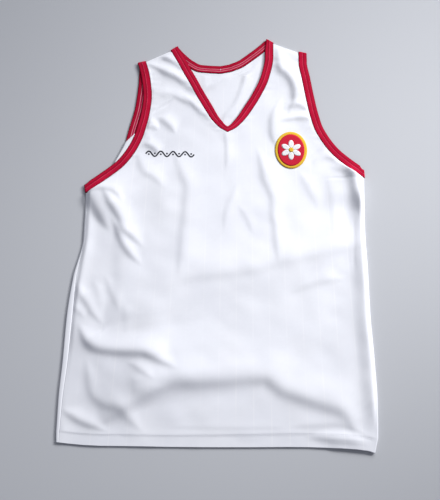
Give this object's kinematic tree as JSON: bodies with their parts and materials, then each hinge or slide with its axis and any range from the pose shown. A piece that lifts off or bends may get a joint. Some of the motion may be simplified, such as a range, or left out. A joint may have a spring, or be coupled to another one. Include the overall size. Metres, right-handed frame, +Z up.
{
  "type": "sleeveless sports jersey",
  "caption": "White sleeveless V-neck knit jersey with crimson neck and armhole bindings and a chest badge, laid flat with soft folds.",
  "frame": {"origin": "middle of the underside of the jersey as it lies, on the surface it lies on", "axes": "+Z up from the surface, +Y from the hem to the neck, +X towards the side with the badge"},
  "size_m": [0.5493, 0.7865, 0.013],
  "materials": {
    "white_knit": "fine white polyester knit with faint satin pinstripes along the grain, soft low sheen",
    "crimson_binding": "deep crimson rib binding, matt, with a twin-needle stitch line down its middle",
    "badge_embroidery": "satin-stitch embroidery in red, white and gold thread"
  },
  "bodies": {
    "root": {"front_panel": "white_knit", "back_panel": "white_knit", "neck_binding": "crimson_binding", "armhole_binding_left": "crimson_binding", "armhole_binding_right": "crimson_binding", "chest_badge": "badge_embroidery"}
  },
  "joints": []
}
